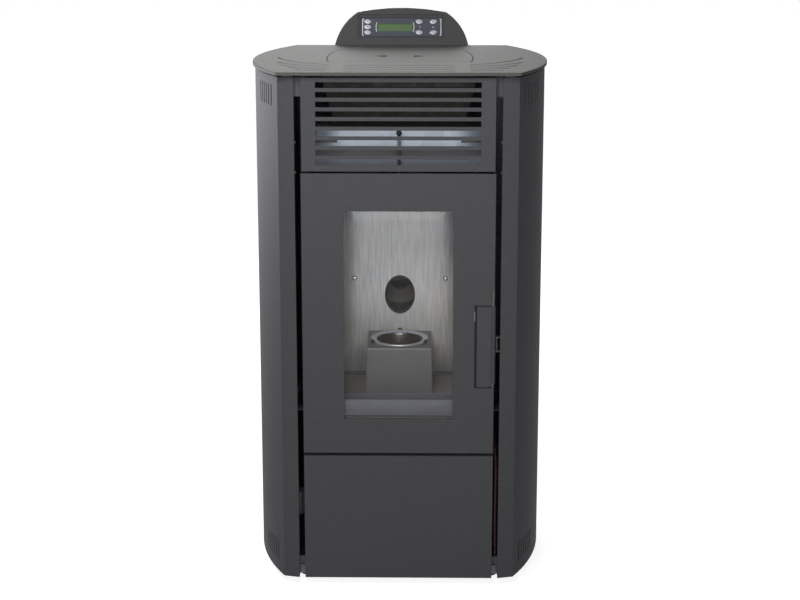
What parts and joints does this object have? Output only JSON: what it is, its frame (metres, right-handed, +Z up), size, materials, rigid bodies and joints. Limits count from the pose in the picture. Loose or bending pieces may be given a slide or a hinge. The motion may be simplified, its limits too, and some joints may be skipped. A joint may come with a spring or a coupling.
{
  "type": "pellet stove",
  "caption": "Free-standing pellet stove with curved side panels, windowed fire door, warm-air grille, top hopper lid, rear console and working feed and fans.",
  "frame": {"origin": "on the floor, under the middle of the whole stove", "axes": "+Z up, -Y towards the user (the fire door faces -Y), +X to the right seen from the front"},
  "size_m": [0.537, 0.5248, 1.0085],
  "materials": {
    "charcoal_casing": "fine-texture charcoal powder coat",
    "charcoal_top": "fine-texture charcoal powder coat, seen lit from above",
    "charcoal_front": "fine-texture charcoal powder coat",
    "charcoal_rear": "charcoal powder coat",
    "grey_bracket": "grey primer",
    "console_shell": "fine-grain dark moulding",
    "keypad_blue": "blue-grey keypad film",
    "display_green": "unlit green display",
    "key_silver": "silver key caps",
    "circuit_board": "green board",
    "bright_steel": "zinc-plated steel",
    "black_steel": "black heat-proof paint",
    "rope_seal": "graphite-grey woven glass rope",
    "ceramic_glass": "clear ceramic glass",
    "firebox_steel": "dark heat-proof paint",
    "brushed_lining": "brushed, vertical grain",
    "burner_steel": "heat-darkened steel",
    "burn_pot_iron": "machined ring, cast cup",
    "exchanger_steel": "dark bare steel",
    "galvanised_sheet": "galvanised sheet",
    "fan_aluminium": "pressed aluminium",
    "motor_metal": "zinc-plated motor cans",
    "spigot_black": "black heat-proof paint",
    "black_plastic": "black moulding",
    "loom_sleeve": "reddish insulated wires in a bundle",
    "foot_rubber": "black rubber-faced levelling feet"
  },
  "bodies": {
    "stove": {"air_hood": "galvanised_sheet", "air_pipe": "galvanised_sheet", "auger_motor": "motor_metal", "back_plate": "brushed_lining", "back_plate_screws": "bright_steel", "base_tray": "charcoal_casing", "burner_box": "burner_steel", "casing_posts": "galvanised_sheet", "console_housing": "console_shell", "control_board": "circuit_board", "display_window": "display_green", "door_hinges": "black_steel", "feed_tube": "exchanger_steel", "firebox_shell": "firebox_steel", "flue_spigot": "spigot_black", "front_brackets": "grey_bracket", "grille_panel": "charcoal_front", "heat_tubes": "exchanger_steel", "hopper": "galvanised_sheet", "igniter": "bright_steel", "keypad_plate": "keypad_blue", "latch_keeper": "bright_steel", "lower_panel": "charcoal_front", "power_inlet": "black_plastic", "rear_panel": "charcoal_rear", "room_fan_housing": "black_steel", "room_fan_motor": "motor_metal", "side_panel_left": "charcoal_casing", "side_panel_right": "charcoal_casing", "smoke_fan_housing": "galvanised_sheet", "smoke_fan_motor": "motor_metal", "top_plate": "charcoal_top", "wiring_loom": "loom_sleeve"},
    "fire_door": {"door_panel": "charcoal_front", "door_frame": "black_steel", "door_seal": "rope_seal", "door_glass": "ceramic_glass", "glass_clips": "bright_steel"},
    "door_handle": {"handle_plate": "charcoal_front", "handle_shaft": "black_steel"},
    "lid": {"hopper_lid": "charcoal_top", "lid_pins": "bright_steel"},
    "pot": {"burn_pot": "burn_pot_iron"},
    "pan": {"ash_pan": "firebox_steel"},
    "scraper": {"tube_scraper": "black_steel"},
    "auger": {"auger_screw": "bright_steel"},
    "smoke_wheel": {"smoke_fan_wheel": "fan_aluminium"},
    "room_wheel": {"room_fan_wheel": "fan_aluminium"},
    "rocker": {"rocker_switch": "black_plastic"},
    "key_cap_1": {"key_1": "key_silver"},
    "key_cap_2": {"key_2": "key_silver"},
    "key_cap_3": {"key_3": "key_silver"},
    "key_cap_4": {"key_4": "key_silver"},
    "key_cap_5": {"key_5": "key_silver"},
    "key_cap_6": {"key_6": "key_silver"},
    "key_cap_7": {"key_7": "key_silver"},
    "levelling_foot_front_left": {"foot_front_left": "foot_rubber"},
    "levelling_foot_front_right": {"foot_front_right": "foot_rubber"},
    "levelling_foot_rear_left": {"foot_rear_left": "foot_rubber"},
    "levelling_foot_rear_right": {"foot_rear_right": "foot_rubber"}
  },
  "joints": [
    {"name": "fire_door_swing", "type": "hinge", "parent": "stove", "child": "fire_door", "pos_m": [-0.165, -0.2406, 0.509], "axis": [0, 0, -1], "range_deg": [0, 110]},
    {"name": "door_handle_turn", "type": "hinge", "parent": "fire_door", "child": "door_handle", "pos_m": [0.1669, -0.2416, 0.451], "axis": [0, 0, 1], "range_deg": [0, 60]},
    {"name": "hopper_lid_swing", "type": "hinge", "parent": "stove", "child": "lid", "pos_m": [0, 0.1084, 0.9364], "axis": [-1, 0, 0], "range_deg": [0, 75]},
    {"name": "burn_pot_lift", "type": "slide", "parent": "stove", "child": "pot", "axis": [0, 0, 1], "range_m": [0, 0.08]},
    {"name": "ash_pan_lift", "type": "slide", "parent": "stove", "child": "pan", "axis": [0, 0, 1], "range_m": [0, 0.06]},
    {"name": "tube_scraper_pull", "type": "slide", "parent": "stove", "child": "scraper", "axis": [0, 0, 1], "range_m": [0, 0.04]},
    {"name": "auger_turn", "type": "hinge", "parent": "stove", "child": "auger", "pos_m": [0, 0.1104, 0.3735], "axis": [0, -0.5, 0.866], "continuous": true},
    {"name": "smoke_wheel_turn", "type": "hinge", "parent": "stove", "child": "smoke_wheel", "pos_m": [0.095, 0.0204, 0.204], "axis": [1, 0, 0], "continuous": true},
    {"name": "room_wheel_turn", "type": "hinge", "parent": "stove", "child": "room_wheel", "pos_m": [-0.1, -0.0146, 0.134], "axis": [1, 0, 0], "continuous": true},
    {"name": "rocker_switch_tip", "type": "hinge", "parent": "stove", "child": "rocker", "pos_m": [-0.15, 0.2009, 0.096], "axis": [1, 0, 0], "range_deg": [0, 12]},
    {"name": "key_1_press", "type": "slide", "parent": "stove", "child": "key_cap_1", "axis": [0, 0.866, -0.5], "range_m": [0, 0.0005], "stiffness_N_per_m": 600},
    {"name": "key_2_press", "type": "slide", "parent": "stove", "child": "key_cap_2", "axis": [0, 0.866, -0.5], "range_m": [0, 0.0005], "stiffness_N_per_m": 600},
    {"name": "key_3_press", "type": "slide", "parent": "stove", "child": "key_cap_3", "axis": [0, 0.866, -0.5], "range_m": [0, 0.0005], "stiffness_N_per_m": 600},
    {"name": "key_4_press", "type": "slide", "parent": "stove", "child": "key_cap_4", "axis": [0, 0.866, -0.5], "range_m": [0, 0.0005], "stiffness_N_per_m": 600},
    {"name": "key_5_press", "type": "slide", "parent": "stove", "child": "key_cap_5", "axis": [0, 0.866, -0.5], "range_m": [0, 0.0005], "stiffness_N_per_m": 600},
    {"name": "key_6_press", "type": "slide", "parent": "stove", "child": "key_cap_6", "axis": [0, 0.866, -0.5], "range_m": [0, 0.0005], "stiffness_N_per_m": 600},
    {"name": "key_7_press", "type": "slide", "parent": "stove", "child": "key_cap_7", "axis": [0, 0.866, -0.5], "range_m": [0, 0.0005], "stiffness_N_per_m": 600},
    {"name": "foot_front_left_turn", "type": "hinge", "parent": "stove", "child": "levelling_foot_front_left", "pos_m": [-0.1636, -0.1896, 0.014], "axis": [0, 0, 1], "continuous": true},
    {"name": "foot_front_right_turn", "type": "hinge", "parent": "stove", "child": "levelling_foot_front_right", "pos_m": [0.1636, -0.1896, 0.014], "axis": [0, 0, 1], "continuous": true},
    {"name": "foot_rear_left_turn", "type": "hinge", "parent": "stove", "child": "levelling_foot_rear_left", "pos_m": [-0.161, 0.1504, 0.014], "axis": [0, 0, 1], "continuous": true},
    {"name": "foot_rear_right_turn", "type": "hinge", "parent": "stove", "child": "levelling_foot_rear_right", "pos_m": [0.161, 0.1504, 0.014], "axis": [0, 0, 1], "continuous": true}
  ]
}
